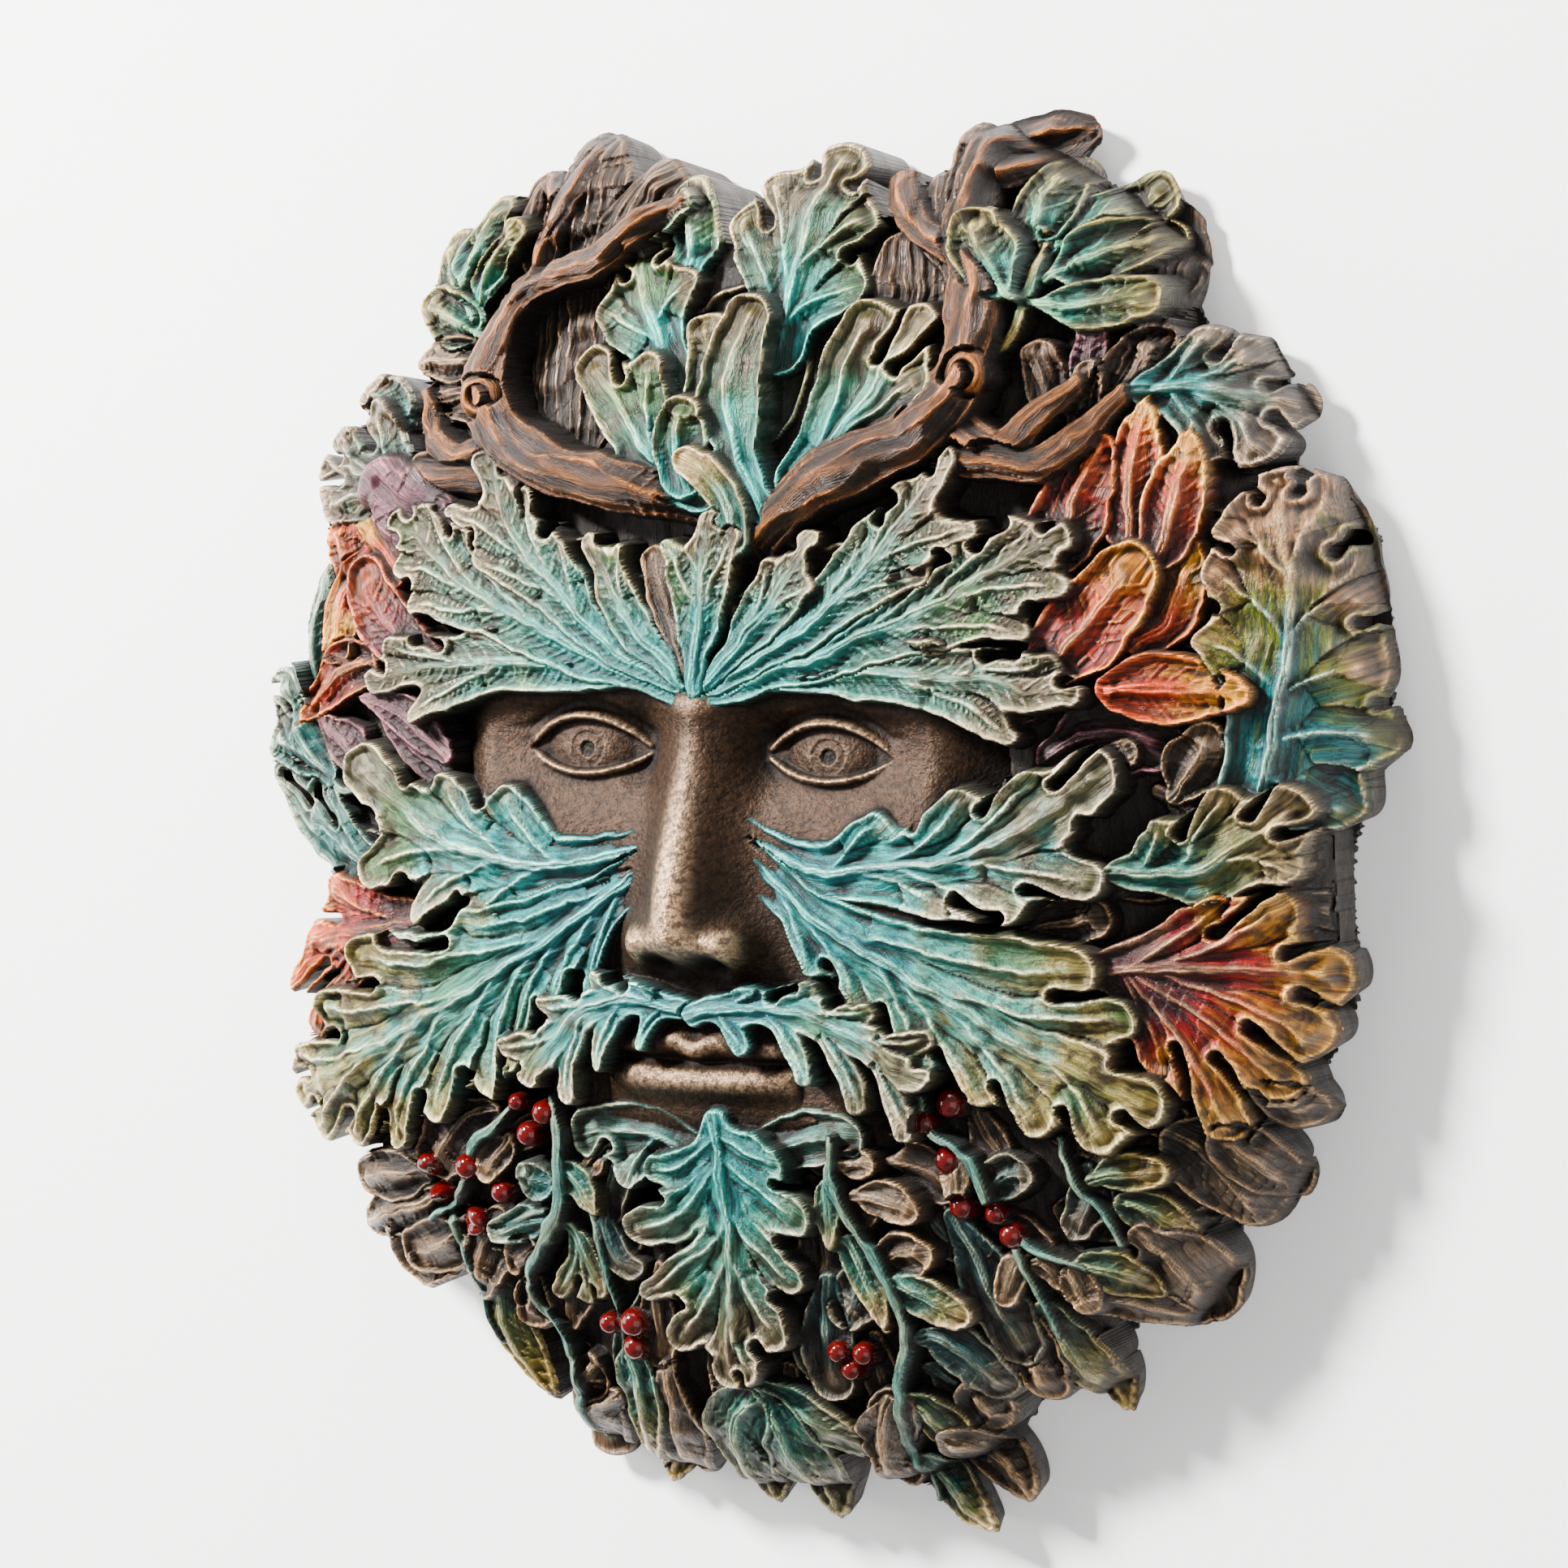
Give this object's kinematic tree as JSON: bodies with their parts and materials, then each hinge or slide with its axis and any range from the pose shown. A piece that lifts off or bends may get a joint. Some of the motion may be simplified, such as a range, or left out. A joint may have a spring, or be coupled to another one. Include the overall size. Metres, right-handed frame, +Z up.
{
  "type": "foliate mask wall plaque",
  "caption": "Wall plaque cast as a calm face looking out of oak leaves, antlers, vines and berries, with a flat felt-covered back that lies against a wall.",
  "frame": {"origin": "on the back face of the felt, where it meets the wall, behind the root of the nose", "axes": "+Z up the face, +Y into the wall, +X to the viewer's right; the face looks along -Y"},
  "size_m": [0.2052, 0.0582, 0.2437],
  "materials": {
    "painted_resin": "hand-painted cold-cast resin: turquoise and green leaves brushed with gold and bone, bronze-brown face and antlers, dark wash in the hollows",
    "black_felt": "matt black felt"
  },
  "bodies": {
    "root": {"cast_relief": "painted_resin", "felt_backing": "black_felt"}
  },
  "joints": []
}
